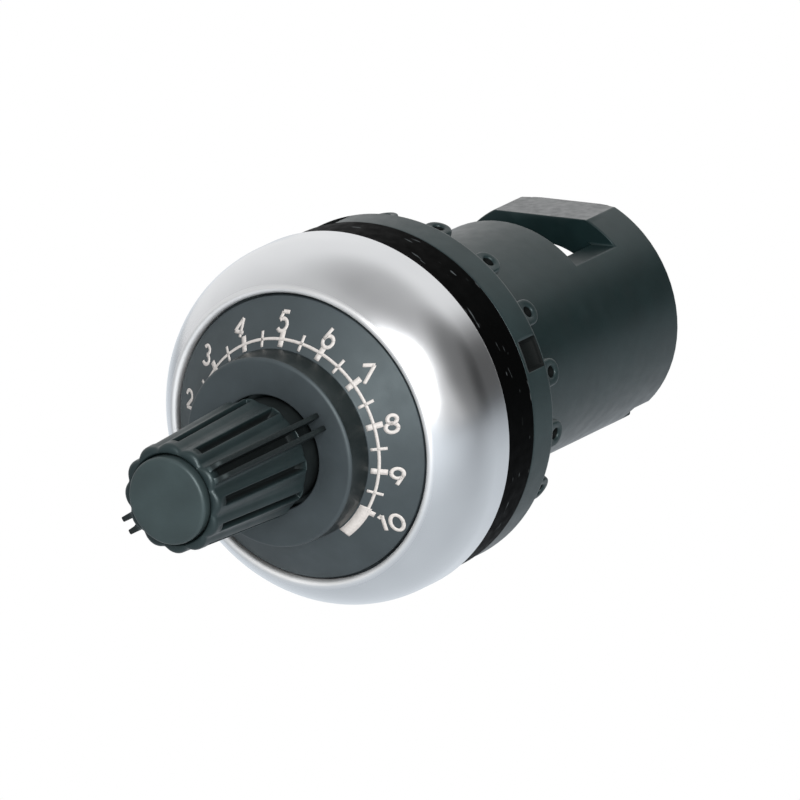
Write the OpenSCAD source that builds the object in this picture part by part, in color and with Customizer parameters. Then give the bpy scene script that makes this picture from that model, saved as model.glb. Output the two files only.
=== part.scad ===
// Panel mount potentiometer for a 22.5 mm hole: a dial with a fluted knob in front of
// the panel, and behind it a tubular housing that holds a carbon-track potentiometer.
// Millimetres. +Z is up, the front faces -Y, and the origin is the centre of the
// seal's rear face, which lies on the front of the panel.

/* [Panel fixing] */
// Diameter of the threaded collar that goes through the panel hole
collar_d = 22; // [21:0.1:23]
// Length of the collar behind the front of the panel
collar_len = 7.6; // [6.5:0.1:10]
// Wall of the collar
collar_wall = 1.5; // [1:0.1:2]
// Outer diameter of the rubber seal
seal_d = 29; // [28.4:0.1:30]
// Thickness of the rubber seal
seal_t = 4.1; // [3:0.1:6]
// How far the seal stands out past the ring nut
nut_inset = 0.1; // [0:0.05:0.4]
// Thickness of the ring nut without its lugs
nut_t = 3.1; // [2.4:0.1:3.4]
// Number of spanner lugs on the ring nut
lug_count = 17; // [8:1:18]
// Width of a spanner lug
lug_w = 2.2; // [1.6:0.1:3]
// Height of a spanner lug behind the nut
lug_h = 2.15; // [1.6:0.05:2.4]
// Radial thickness of a spanner lug
lug_t = 1; // [0.7:0.1:1.4]
// Hole in a spanner lug
lug_hole_d = 0.9; // [0.5:0.1:1.2]
// Number of hook notches in the rim of the ring nut
hook_count = 4; // [2:1:8]
// Width of a hook notch
hook_w = 2.3; // [1.5:0.1:3]
// Clock angle of the first lug when the ring nut is tight
nut_clock = 16; // [0:0.1:22]
// Clock angle of the first hook notch when the ring nut is tight
hook_clock = 71; // [0:0.5:90]

/* [Housing] */
// Diameter of the barrel
barrel_d = 19.4; // [19:0.1:21]
// Length of the barrel behind the front of the panel
barrel_len = 28.8; // [27:0.1:36]
// Wall of the barrel
barrel_wall = 1.5; // [1:0.1:2]
// Thickness of the rear end wall
end_wall = 4.55; // [2:0.05:6]
// Hole for the wires in the rear end wall
wire_hole_d = 12.8; // [8:0.1:13]
// Length of the window in front of the rear end wall
window_len = 5.75; // [4.2:0.05:6.2]
// Depth of the window below the top of the barrel
window_depth = 3; // [2.5:0.1:5]
// Depth of the flat on top of the rear end wall
flat_depth = 1.05; // [0.5:0.01:2]
// Width of the notch in the rear rim
rim_notch_w = 2.2; // [1:0.1:4]
// Length of the notch in the rear rim
rim_notch_len = 2.5; // [1:0.1:3.5]
// Depth of the notch in the rear rim
rim_notch_depth = 0.7; // [0.3:0.1:1.4]
// Clock angle of the notch in the rear rim
rim_notch_clock = 145; // [100:1:250]
// Thickness of the front flange
flange_t = 2; // [1.4:0.1:3]

/* [Bezel and dial] */
// Outer diameter of the bezel
bezel_d = 29.7; // [28.6:0.1:32]
// Length of the bezel from its rear edge to its crest
bezel_len = 7.35; // [7:0.05:9]
// Wall of the bezel
bezel_wall = 0.9; // [0.6:0.1:1.2]
// Length of the bezel's straight skirt
bezel_skirt = 1.9; // [1.2:0.1:2.2]
// Radius of the rounded edge round the bezel's opening
bezel_roll = 0.35; // [0.2:0.05:0.5]
// Width of the bezel from its outside to its opening, seen from the front
bezel_rim_w = 3.15; // [2.9:0.05:3.3]
// Length of the bezel's edge that holds the shoulder of the dial
bezel_lip_t = 1.1; // [0.9:0.05:1.3]
// How far the edge of the dial lies behind the crest of the bezel
dial_sink = 0.42; // [0.3:0.02:0.6]
// Slope of the dial's cone in degrees
dial_slope = 32; // [20:0.5:35]
// Diameter of the boss in the middle of the dial
boss_d = 15.4; // [14:0.1:17]
// Height of the boss above the foot of its wall
boss_h = 2.5; // [2.2:0.1:4]
// Hole in the boss for the neck of the knob
knob_hole_d = 9.4; // [9.2:0.1:11]
// Wall of the dial and of the boss
dial_wall = 1.3; // [1:0.1:1.5]

/* [Knob] */
// Length of the knob in front of the boss
knob_len = 13.75; // [10:0.05:18]
// Diameter of the knob at its front, between the lobes
knob_front_d = 8.3; // [8:0.1:9]
// Diameter of the knob at the rear end of its lobes, between them
knob_foot_d = 9.4; // [9.2:0.1:10]
// Length of the knob's plain neck between the lobes and the boss
knob_neck_len = 1.75; // [0.8:0.05:2.5]
// Diameter of the knob's neck
knob_neck_d = 8.6; // [7.6:0.1:9]
// Number of lobes round the knob, each with a slot
lobe_count = 12; // [8:2:16]
// Height of a lobe above the valley beside it
lobe_h = 0.3; // [0.1:0.05:0.4]
// Width of the slot in a lobe
slot_w = 0.7; // [0.4:0.05:0.9]
// Depth of the slot in a lobe below the valleys
slot_depth = 0.75; // [0.3:0.05:0.9]
// Thickness of a pointer fin
fin_t = 0.42; // [0.3:0.01:0.6]
// Reach of the pointer fins from the axis at the front of the knob
fin_front_r = 5.5; // [5:0.1:6.5]
// Reach of the pointer fins from the axis at the foot of the knob
fin_foot_r = 6.4; // [6:0.1:7.4]
// Turn of the knob from its start stop, as it stands
rest_turn = 14.5; // [0:0.5:270]
// Diameter of the cap in the front of the knob
cap_d = 7.1; // [6.4:0.1:7.2]

/* [Potentiometer] */
// Turn of the shaft between its stops in degrees
turn = 270; // [240:1:300]
// Depth of the potentiometer's mounting face behind the front of the panel
pot_depth = 5; // [4:0.1:6.5]
// Diameter of the shaft
shaft_d = 4; // [3.6:0.1:4.4]
// Thread diameter of the bush
bush_d = 7; // [6.4:0.1:8]
// Length of the bush in front of its mounting face
bush_len = 6; // [5.5:0.1:8]
// Clearance between the potentiometer's case and the barrel
case_clear = 0.9; // [0.6:0.1:1.1]
// Length of the potentiometer's case
case_len = 6.2; // [5.8:0.1:8]
// Spacing of the solder terminals
terminal_pitch = 2.9; // [2.4:0.1:3]
// Length of a solder terminal behind the track wafer
terminal_len = 9.2; // [8:0.1:12]

/* [Hidden] */
$fn = 96;

// Clearances: between pieces that stay together, where one piece turns or slides in another,
// and between pieces that never touch
fit_gap = 0.05;
run_gap = 0.05;
free_gap = 0.3;
// How far a cutter reaches past the face that it cuts
past = 1;

// Colours of the finishes
dark_plastic = [0.25, 0.27, 0.28];
mid_plastic = [0.33, 0.35, 0.36];
black_rubber = [0.03, 0.03, 0.03];
satin_silver = [0.75, 0.76, 0.78];
brass = [0.78, 0.62, 0.32];
steel = [0.62, 0.63, 0.65];
phenolic = [0.45, 0.30, 0.18];
carbon = [0.08, 0.08, 0.09];

// Stack from the panel forwards
collar_r = collar_d / 2;
collar_bore_r = collar_r - collar_wall;
seal_front_y = -seal_t;
flange_front_y = seal_front_y - flange_t;
carrier_t = 2;
carrier_front_y = flange_front_y - carrier_t;
crest_y = seal_front_y - bezel_len;
dial_edge_y = crest_y + dial_sink;

// Bezel section: a straight skirt, a large arc and a small rolled edge that meet tangentially
bezel_r = bezel_d / 2;
opening_r = bezel_r - bezel_rim_w;
skirt_y = seal_front_y - bezel_skirt;
lip_y = crest_y + bezel_lip_t;
roll_r = opening_r + bezel_roll;
roll_y = crest_y + bezel_roll;
roll_in = bezel_r - roll_r;
roll_drop = skirt_y - roll_y;
dome_r = (roll_in ^ 2 + roll_drop ^ 2 - bezel_roll ^ 2) / (2 * (roll_in - bezel_roll));
dome_centre_r = bezel_r - dome_r;
roll_angle = atan2(roll_drop, roll_r - dome_centre_r);
bead_len = 0.45;
bead_h = 0.3;
flange_r = bezel_r - bezel_wall - fit_gap;

// Dial cone and boss
function dial_y(r) = dial_edge_y + (r - opening_r) * tan(dial_slope);
// Radius of the bezel's inner wall at the place y along the axis
function bezel_inner_r(y) = dome_centre_r + sqrt((dome_r - bezel_wall) ^ 2 - (skirt_y - y) ^ 2);
boss_r = boss_d / 2;
boss_draft = 0.1;
boss_round = 0.3;
boss_root_r = boss_r + boss_draft;
boss_face_y = dial_y(boss_root_r) - boss_h;
shell_gap = 0.1;
dial_edge_r = opening_r - fit_gap;
dial_rim_r = bezel_inner_r(lip_y) - shell_gap;
carrier_r = bezel_inner_r(carrier_front_y) - shell_gap;
foot_sink = 0.9;
foot_room = 0.6;
boss_floor_y = boss_face_y + foot_sink + foot_room;

// Shaft line
shaft_r = shaft_d / 2;
shaft_hole_gap = 0.6;
shaft_hole_r = shaft_r + shaft_hole_gap;
ring_section = 1.4;
ring_groove_len = 1.6;
groove_y = boss_floor_y + dial_wall;
groove_r = shaft_r + run_gap + ring_section + fit_gap;

// Knob
knob_front_y = boss_face_y - knob_len;
knob_foot_y = boss_face_y + foot_sink;
front_valley_r = knob_front_d / 2;
foot_valley_r = knob_foot_d / 2;
knob_neck_r = knob_neck_d / 2;
lobe_end_y = boss_face_y - knob_neck_len;
taper_angle = atan2(foot_valley_r - front_valley_r, lobe_end_y - knob_front_y);
front_edge = 0.3;
rim_len = 1.1;
lobe_r = 1.3;
slot_foot = 0.25;
fin_inset = 0.4;
slot_end_y = lobe_end_y - slot_foot;
fin_start_y = knob_front_y + fin_inset;
fin_end_y = boss_face_y - free_gap;
pointer_clock = rest_turn - turn / 2;
collet_wall = 0.7;
collet_r = shaft_r + fit_gap + collet_wall;
knob_bore_r = collet_r + fit_gap;
cap_r = cap_d / 2;
cap_gap = 0.15;
cap_t = 0.8;
cap_rise = 0.8;
cap_plug_len = 0.8;
cap_dome_r = 60;
cap_seat_y = knob_front_y + cap_t;
screw_room = 0.2;
screw_head_y = cap_seat_y + cap_plug_len + screw_room;
screw_head_t = 1.1;
screw_r = 1.2;
screw_len = 4;
collet_front_y = screw_head_y + screw_head_t;
collet_floor = 1;
collet_inset = 0.6;
collet_end_y = knob_foot_y - collet_inset;

// Potentiometer, from its mounting face backwards
barrel_r = barrel_d / 2;
barrel_bore_r = barrel_r - barrel_wall;
cup_wall = 2;
cup_skirt = 1.5;
cup_floor_y = pot_depth - cup_wall;
bush_r = bush_d / 2;
bush_front_y = pot_depth - bush_len;
spigot_step = 0.5;
spigot_r = bush_r - spigot_step;
washer_t = 0.6;
hex_grip = 1.5;
hex_across = bush_d + 2 * hex_grip;
hex_t = 2.2;
plate_t = 0.8;
wafer_y = pot_depth + plate_t;
wafer_t = 1.2;
track_y = wafer_y + wafer_t;
track_t = 0.1;
collector_t = 0.15;
case_r = barrel_bore_r - case_clear;
case_wall = 0.35;
case_end_y = wafer_y + case_len;
case_flat_cut = 1.3;
case_flat = case_r - case_flat_cut;
case_cavity_flat = case_flat - case_wall;
rotor_gap = 0.25;
rotor_r = case_cavity_flat - rotor_gap;
wiper_room = 0.9;
rotor_y = track_y + wiper_room;
rotor_t = 1.5;
stop_w = 1.3;
rotor_hub_r = rotor_r - stop_w;
neck_step = 0.4;
shaft_neck_r = shaft_r - neck_step;
lug_half = 9.5;
stop_slack = 0.5;
stop_half = 180 - turn / 2 - lug_half - stop_slack;
stop_clock = 180;
stop_gap = 0.2;
stop_y = rotor_y + rotor_t + stop_gap;
stop_lug_len = case_end_y - case_wall - stop_y - free_gap;
track_inset = 0.4;
track_w = 1;
track_outer_r = rotor_r - track_inset;
track_inner_r = track_outer_r - track_w;
track_half = 150;
collector_inset = 0.9;
collector_w = 0.8;
collector_outer_r = track_inner_r - collector_inset;
collector_inner_r = collector_outer_r - collector_w;
wafer_gap = 0.35;
wafer_r = case_r - case_wall - wafer_gap;
wafer_hole_r = shaft_r + free_gap;
tongue_margin = 1.4;
tongue_half = terminal_pitch + tongue_margin;
tongue_gap = 0.2;
tongue_drop = sqrt((barrel_bore_r - tongue_gap) ^ 2 - tongue_half ^ 2);
rivet_r = 0.35;
rivet_head_r = 0.55;
rivet_head_t = 0.3;
rivet_drop = case_cavity_flat;
terminal_t = 0.35;
terminal_w = 1.6;
terminal_top = rivet_drop - rivet_head_r - fit_gap;
terminal_inset = 0.1;
terminal_bottom = tongue_drop - terminal_inset;
terminal_hole_d = 0.9;
mouth_gap = 0.1;
mouth_len = wafer_t + terminal_t + rivet_head_t + mouth_gap;
tab_half = 1;
tab_gap = 0.15;
tab_notch = case_wall + tab_gap;
tab_clocks = [0, 120, 240];
key_w = 2.4;
key_t = 1;
key_offset = 0.6;
key_r = (bush_r + case_r) / 2 + key_offset;
key_len = 1.4;
spring_t = 0.3;
clip_t = 0.6;
clip_w = 1.4;
clip_r = shaft_r + clip_w;
clip_neck_r = shaft_r - neck_step;
clip_y = bush_front_y - clip_t - run_gap;

// Ring nut and collar
nut_front_y = run_gap;
nut_r = seal_d / 2 - nut_inset;
nut_edge = 0.25;
nut_land = 0.7;
lip_r = nut_r - nut_land;
lug_step = 0.2;
lug_outer_r = lip_r + lug_step;
lip_w = 0.8;
lip_h = 0.3;
relief_gap = 0.1;
relief_y = nut_t + lug_h + relief_gap;
relief_w = 0.4;
relief_depth = 0.3;
collar_edge = 0.3;
barrel_edge = 0.4;

// Turns a shape drawn along local +Z so that it lies along +Y, with local -Y at the top
module along_axis() rotate([-90, 0, 0]) children();

// Turns children drawn at the top to a clock angle, seen from the front
module at_clock(angle) rotate([0, 0, angle]) children();

// Solid of revolution about the axis from points of radius and place along the axis
module revolved(points) along_axis() rotate_extrude() polygon(points);

// Round bar about the axis from one place to another
module bar(r, from, to) along_axis() translate([0, 0, from]) cylinder(r = r, h = to - from);

// Tube about the axis
module tube(outer_r, inner_r, from, to) {
    difference() {
        bar(outer_r, from, to);
        bar(inner_r, from - past, to + past);
    }
}

// Box from one place to another along the axis, given by its sides across it
module block(x_min, x_max, y_min, y_max, z_min, z_max)
    translate([x_min, y_min, z_min]) cube([x_max - x_min, y_max - y_min, z_max - z_min]);

// Flat ring sector about the axis, centred on a clock angle
module sector(outer_r, inner_r, clock, half, from, to) {
    along_axis() at_clock(clock) rotate([0, 0, -90 - half]) translate([0, 0, from])
        rotate_extrude(angle = 2 * half) translate([inner_r, 0]) square([outer_r - inner_r, to - from]);
}

// Flanged tube: front flange, threaded collar with a relief behind the nut, barrel and end wall
module barrel_housing() {
    color(dark_plastic)
    difference() {
        revolved([
            [collar_bore_r, flange_front_y], [flange_r, flange_front_y],
            [flange_r, seal_front_y - bead_len - fit_gap],
            [flange_r - bead_h, seal_front_y - bead_len - fit_gap], [flange_r - bead_h, seal_front_y],
            [collar_r, seal_front_y], [collar_r, relief_y],
            [collar_r - relief_depth, relief_y], [collar_r - relief_depth, relief_y + relief_w],
            [collar_r, relief_y + relief_w], [collar_r, collar_len - collar_edge],
            [collar_r - collar_edge, collar_len], [barrel_r, collar_len],
            [barrel_r, barrel_len - barrel_edge], [barrel_r - barrel_edge, barrel_len],
            [wire_hole_d / 2, barrel_len], [wire_hole_d / 2, barrel_len - end_wall],
            [barrel_bore_r, barrel_len - end_wall], [barrel_bore_r, pot_depth + fit_gap],
            [collar_bore_r, pot_depth + fit_gap]
        ]);
        block(-barrel_r - past, barrel_r + past,
              barrel_len - end_wall - window_len, barrel_len - end_wall,
              barrel_r - window_depth, barrel_r + past);
        block(-barrel_r, barrel_r, barrel_len - end_wall - past, barrel_len + past,
              barrel_r - flat_depth, barrel_r + past);
        along_axis() at_clock(rim_notch_clock)
            translate([-rim_notch_w / 2, -barrel_r - past, barrel_len - rim_notch_len])
            cube([rim_notch_w, rim_notch_depth + past, rim_notch_len + past]);
    }
}

// Rubber ring between the flange and the panel, with a groove between its two sealing lips
module panel_seal() {
    seal_bore_r = collar_r + fit_gap;
    lip = (seal_d / 2 - seal_bore_r) / 3;
    groove_depth = 0.6;
    color(black_rubber)
    revolved([
        [seal_bore_r, seal_front_y], [seal_d / 2, seal_front_y], [seal_d / 2, 0],
        [seal_d / 2 - lip, 0], [seal_d / 2 - lip, -groove_depth],
        [seal_bore_r + lip, -groove_depth], [seal_bore_r + lip, 0], [seal_bore_r, 0]
    ]);
}

// Cup that hangs in the collar from its rim and carries the potentiometer's bush in its floor
module front_carrier() {
    skirt_r = collar_bore_r - fit_gap;
    color(mid_plastic)
    difference() {
        revolved([
            [skirt_r - cup_skirt, carrier_front_y], [carrier_r, carrier_front_y],
            [carrier_r, flange_front_y], [skirt_r, flange_front_y], [skirt_r, pot_depth],
            [bush_r + fit_gap, pot_depth], [bush_r + fit_gap, cup_floor_y],
            [skirt_r - cup_skirt, cup_floor_y]
        ]);
        block(key_r - key_t / 2 - fit_gap, key_r + key_t / 2 + fit_gap,
              pot_depth - key_len - fit_gap, pot_depth + past,
              -key_w / 2 - fit_gap, key_w / 2 + fit_gap);
    }
}

// Conical dial with its round boss, the recess for the knob's foot and the seat of the shaft seal
module dial_plate() {
    boss_inner_r = boss_r - dial_wall;
    hub_wall = 1.1;
    hub_r = groove_r + hub_wall;
    rim_inner_r = dial_rim_r - dial_wall;
    shoulder_y = lip_y + fit_gap;
    color(dark_plastic)
    revolved([
        [dial_rim_r, carrier_front_y], [dial_rim_r, shoulder_y], [dial_edge_r, shoulder_y],
        [dial_edge_r, dial_y(dial_edge_r)], [boss_root_r, dial_y(boss_root_r)],
        [boss_r, boss_face_y + boss_round],
        [boss_r - boss_round, boss_face_y], [knob_hole_d / 2, boss_face_y],
        [knob_hole_d / 2, boss_floor_y], [shaft_hole_r, boss_floor_y], [shaft_hole_r, groove_y],
        [groove_r, groove_y], [groove_r, groove_y + ring_groove_len],
        [hub_r, groove_y + ring_groove_len], [hub_r, boss_floor_y + dial_wall],
        [boss_inner_r, boss_floor_y + dial_wall],
        [rim_inner_r, dial_y(rim_inner_r) + dial_wall], [rim_inner_r, carrier_front_y]
    ]);
}

// Domed metal ring that holds the dial and the carrier on the flange by a bead behind it
module bezel_ring() {
    far = bezel_d;
    color(satin_silver)
    along_axis() rotate_extrude()
    difference() {
        union() {
            intersection() {
                translate([dome_centre_r, skirt_y]) circle(r = dome_r, $fn = 360);
                polygon([
                    [roll_r, skirt_y], [bezel_r, skirt_y],
                    [dome_centre_r + far * cos(roll_angle), skirt_y - far * sin(roll_angle)],
                    [roll_r, roll_y]
                ]);
            }
            translate([roll_r, roll_y]) circle(r = bezel_roll);
            translate([roll_r, skirt_y]) square([bezel_r - roll_r, bezel_skirt]);
            translate([opening_r, roll_y]) square([bezel_roll, skirt_y - roll_y]);
        }
        intersection() {
            translate([dome_centre_r, skirt_y]) circle(r = dome_r - bezel_wall, $fn = 360);
            translate([0, lip_y]) square([far, skirt_y - lip_y]);
        }
        translate([0, skirt_y - fit_gap])
            square([bezel_r - bezel_wall, bezel_skirt - bead_len + fit_gap]);
        translate([0, skirt_y]) square([bezel_r - bezel_wall - bead_h, bezel_skirt + past]);
    }
}

// Rubber ring round the shaft, behind the boss
module stem_seal() {
    ring_y = groove_y + ring_groove_len / 2;
    color(black_rubber)
    along_axis() translate([0, 0, ring_y]) rotate_extrude()
        translate([shaft_r + run_gap + ring_section / 2, 0]) circle(d = ring_section);
}

// Threaded bush that carries the shaft, with a spigot staked into the mounting plate
module bush() {
    thread_edge = 0.4;
    color(brass)
    revolved([
        [shaft_r + run_gap, bush_front_y], [bush_r - thread_edge, bush_front_y],
        [bush_r, bush_front_y + thread_edge], [bush_r, pot_depth], [spigot_r, pot_depth],
        [spigot_r, wafer_y], [shaft_r + run_gap, wafer_y]
    ]);
}

// Lock washer under the bush nut, with teeth cut into its rim
module bush_washer() {
    tooth_count = 12;
    tooth_gap = 0.8;
    tooth_len = 1;
    washer_margin = 0.6;
    washer_r = hex_across / 2 + washer_margin;
    color(steel)
    difference() {
        tube(washer_r, bush_r + fit_gap, cup_floor_y - washer_t, cup_floor_y);
        for (i = [0 : tooth_count - 1])
            along_axis() at_clock(i * 360 / tooth_count)
                translate([-tooth_gap / 2, -washer_r - past, cup_floor_y - washer_t - past])
                cube([tooth_gap, tooth_len + past, washer_t + 2 * past]);
    }
}

// Hexagon nut that clamps the bush to the floor of the carrier
module bush_nut() {
    nut_back_y = cup_floor_y - washer_t;
    color(brass)
    difference() {
        along_axis() translate([0, 0, nut_back_y - hex_t])
            cylinder(r = hex_across / 2 / cos(30), h = hex_t, $fn = 6);
        bar(bush_r + fit_gap, nut_back_y - hex_t - past, nut_back_y + past);
    }
}

// Metal front plate of the potentiometer, with a key bent forwards into the carrier
module pot_plate() {
    plate_gap = 0.25;
    plate_drop = terminal_top - plate_gap;
    color(steel)
    difference() {
        union() {
            bar(case_r, pot_depth, wafer_y);
            block(key_r - key_t / 2, key_r + key_t / 2, pot_depth - key_len, pot_depth + plate_t / 2,
                  -key_w / 2, key_w / 2);
        }
        bar(spigot_r + fit_gap, pot_depth - past, wafer_y + past);
        block(-case_r - past, case_r + past, pot_depth - past, wafer_y + past,
              -case_r - past, -plate_drop);
        for (clock = tab_clocks)
            along_axis() at_clock(clock)
                translate([-tab_half - fit_gap, -case_r - past, pot_depth - past])
                cube([2 * (tab_half + fit_gap), tab_notch + past, plate_t + 2 * past]);
    }
}

// Pressed cover of the potentiometer: flat below for the terminals, with tabs into the plate
// and a lug inside its end that stops the rotor
module pot_case() {
    cavity_r = case_r - case_wall;
    color(steel)
    difference() {
        union() {
            difference() {
                bar(case_r, wafer_y, case_end_y);
                difference() {
                    bar(cavity_r, wafer_y - past, case_end_y - case_wall);
                    block(-case_r, case_r, wafer_y - past, case_end_y, -case_r, -case_cavity_flat);
                    sector(rotor_r, rotor_hub_r, stop_clock, stop_half, stop_y, case_end_y);
                }
            }
            for (clock = tab_clocks)
                intersection() {
                    tube(case_r, cavity_r, pot_depth, wafer_y + past);
                    along_axis() at_clock(clock) translate([-tab_half, -case_r - past, pot_depth])
                        cube([2 * tab_half, case_r + past, plate_t + past]);
                }
        }
        block(-case_r - past, case_r + past, pot_depth - past, case_end_y + past,
              -case_r - past, -case_flat);
        block(-tongue_half - fit_gap, tongue_half + fit_gap, wafer_y - past, wafer_y + mouth_len,
              -case_r - past, -case_cavity_flat + past);
    }
}

// Phenolic wafer that carries the track, with a tongue below for the terminals
module track_wafer() {
    color(phenolic)
    difference() {
        union() {
            intersection() {
                bar(wafer_r, wafer_y, track_y);
                block(-case_r, case_r, wafer_y - past, track_y + past,
                      -case_cavity_flat + fit_gap, case_r);
            }
            block(-tongue_half, tongue_half, wafer_y, track_y, -tongue_drop, -case_cavity_flat + past);
        }
        bar(wafer_hole_r, wafer_y - past, track_y + past);
        for (i = [-1 : 1])
            translate([i * terminal_pitch, 0, -rivet_drop])
                bar(rivet_r + fit_gap, wafer_y - past, track_y + past);
    }
}

// Printed resistance track, a horseshoe with a tail to each outer terminal
module carbon_track() {
    tail_half = 0.5;
    track_mid = (track_outer_r + track_inner_r) / 2;
    tail_drop = sqrt(track_mid ^ 2 - terminal_pitch ^ 2);
    color(carbon) {
        sector(track_outer_r, track_inner_r, 0, track_half, track_y, track_y + track_t);
        for (side = [-1, 1])
            translate([side * terminal_pitch, 0, 0])
                block(-tail_half, tail_half, track_y, track_y + track_t,
                      -terminal_top + fit_gap, -tail_drop);
    }
}

// Plated ring inside the track, with a strip down to the middle terminal
module collector_ring() {
    strip_w = 0.8;
    color(steel) {
        tube(collector_outer_r, collector_inner_r, track_y, track_y + collector_t);
        block(-strip_w / 2, strip_w / 2, track_y, track_y + collector_t,
              -terminal_top + fit_gap, -(collector_outer_r + collector_inner_r) / 2);
    }
}

// Solder terminal: a foot riveted to the wafer and a blade with an eye, running backwards
module terminal(place) {
    x = place * terminal_pitch;
    blade_end_y = track_y + terminal_len;
    round_y = blade_end_y - terminal_w / 2;
    color(brass)
    difference() {
        union() {
            block(x - terminal_w / 2, x + terminal_w / 2, track_y, track_y + terminal_t,
                  -terminal_bottom, -terminal_top);
            block(x - terminal_w / 2, x + terminal_w / 2, track_y, round_y,
                  -terminal_bottom, -terminal_bottom + terminal_t);
            translate([x, round_y, -terminal_bottom]) cylinder(d = terminal_w, h = terminal_t);
        }
        translate([x, 0, -rivet_drop])
            bar(rivet_r + fit_gap, track_y - past, track_y + terminal_t + past);
        translate([x, round_y, -terminal_bottom - past])
            cylinder(d = terminal_hole_d, h = terminal_t + 2 * past);
    }
}

module terminal_start() terminal(-1);
module terminal_wiper() terminal(0);
module terminal_end() terminal(1);

// Rivets through the terminals' feet and the wafer's tongue
module terminal_rivets() {
    foot_y = track_y + terminal_t;
    color(brass)
    for (i = [-1 : 1])
        translate([i * terminal_pitch, 0, -rivet_drop]) {
            bar(rivet_head_r, wafer_y - rivet_head_t, wafer_y);
            bar(rivet_r, wafer_y - rivet_head_t, foot_y + rivet_head_t);
            bar(rivet_head_r, foot_y, foot_y + rivet_head_t);
        }
}

// Pair of thin pointer fins drawn at the top, with a slot between them
module pointer_fins() {
    root_r = front_valley_r - slot_depth;
    for (side = [-1, 1])
        translate([side * (slot_w + fin_t) / 2 - fin_t / 2, 0, 0])
            rotate([90, 0, 90]) linear_extrude(fin_t)
            polygon([
                [fin_start_y, root_r], [fin_start_y, fin_front_r],
                [fin_end_y, fin_foot_r], [fin_end_y, root_r]
            ]);
}

// Turns a shape drawn at the top of the knob to each lobe, along the knob's taper
module each_lobe() {
    for (i = [0 : lobe_count - 1])
        rotate([0, pointer_clock + i * 360 / lobe_count, 0])
            translate([0, knob_front_y, front_valley_r]) rotate([taper_angle, 0, 0])
            children();
}

// Tapered knob with slotted lobes, a plain front rim, two pairs of pointer fins and a neck
// whose foot goes into the boss
module knob() {
    crest_r = foot_valley_r + lobe_h + past;
    color(dark_plastic)
    difference() {
        union() {
            revolved([
                [0, knob_front_y], [front_valley_r - front_edge, knob_front_y],
                [front_valley_r, knob_front_y + front_edge], [foot_valley_r, lobe_end_y],
                [knob_neck_r, lobe_end_y], [knob_neck_r, knob_foot_y], [0, knob_foot_y]
            ]);
            intersection() {
                each_lobe()
                    translate([0, 0, lobe_h - lobe_r]) bar(lobe_r, -past, knob_len);
                revolved([
                    [0, knob_front_y], [front_valley_r - front_edge, knob_front_y],
                    [crest_r, knob_front_y + crest_r - front_valley_r + front_edge],
                    [crest_r, lobe_end_y - crest_r + foot_valley_r],
                    [foot_valley_r, lobe_end_y], [0, lobe_end_y]
                ]);
            }
            for (clock = [pointer_clock, pointer_clock + 180])
                rotate([0, clock, 0]) pointer_fins();
        }
        intersection() {
            each_lobe()
                block(-slot_w / 2, slot_w / 2, 0, knob_len, -slot_depth, lobe_h + past);
            bar(fin_foot_r + past, knob_front_y + rim_len, slot_end_y);
        }
        bar(knob_bore_r, cap_seat_y, knob_foot_y + past);
        bar(cap_r + cap_gap, knob_front_y - past, cap_seat_y);
    }
}

// Slightly domed cap that snaps into the front of the knob over the collet screw
module knob_cap() {
    cap_front_y = knob_front_y - cap_rise;
    plug_r = knob_bore_r - fit_gap;
    plug_wall = 0.6;
    color(dark_plastic)
    union() {
        intersection() {
            bar(cap_r, cap_front_y, cap_seat_y);
            translate([0, cap_front_y + cap_dome_r, 0]) sphere(r = cap_dome_r, $fn = 200);
        }
        tube(plug_r, plug_r - plug_wall, cap_seat_y - fit_gap, cap_seat_y + cap_plug_len);
    }
}

// Split brass sleeve in the knob that grips the shaft
module collet_sleeve() {
    slit_count = 3;
    slit_w = 0.4;
    slit_len = 5;
    color(brass)
    difference() {
        bar(collet_r, collet_front_y, collet_end_y);
        bar(shaft_r + fit_gap, collet_front_y + collet_floor, collet_end_y + past);
        bar(screw_r + fit_gap, collet_front_y - past, collet_front_y + collet_floor + past);
        for (i = [0 : slit_count - 1])
            along_axis() at_clock(i * 360 / slit_count)
                translate([-slit_w / 2, -collet_r - past, collet_end_y - slit_len])
                cube([slit_w, collet_r + past, slit_len + past]);
    }
}

// Slotted screw that draws the collet onto the shaft
module collet_screw() {
    head_r = knob_bore_r - free_gap;
    slot = 0.5;
    color(steel)
    difference() {
        union() {
            bar(head_r, screw_head_y, collet_front_y);
            bar(screw_r, collet_front_y - fit_gap, collet_front_y + collet_floor + screw_len);
        }
        block(-head_r - past, head_r + past, screw_head_y - past, screw_head_y + slot, -slot / 2, slot / 2);
    }
}

// Shaft with a tapped front end, a groove for its clip and a neck for the rotor
module shaft() {
    front_y = collet_front_y + collet_floor + fit_gap;
    tap_room = 0.4;
    tap_depth = screw_len + tap_room;
    neck_proud = 0.1;
    neck_end_y = rotor_y + rotor_t + neck_proud;
    color(steel)
    revolved([
        [screw_r + fit_gap, front_y], [shaft_r, front_y], [shaft_r, clip_y - fit_gap],
        [clip_neck_r, clip_y - fit_gap], [clip_neck_r, clip_y + clip_t + fit_gap],
        [shaft_r, clip_y + clip_t + fit_gap], [shaft_r, rotor_y], [shaft_neck_r, rotor_y],
        [shaft_neck_r, neck_end_y], [0, neck_end_y], [0, front_y + tap_depth],
        [screw_r + fit_gap, front_y + tap_depth]
    ]);
}

// Open clip in the shaft's groove, which bears on the front of the bush
module shaft_circlip() {
    mouth_half = 30;
    color(steel)
    sector(clip_r, clip_neck_r + fit_gap, 0, 180 - mouth_half, clip_y, clip_y + clip_t);
}

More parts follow.
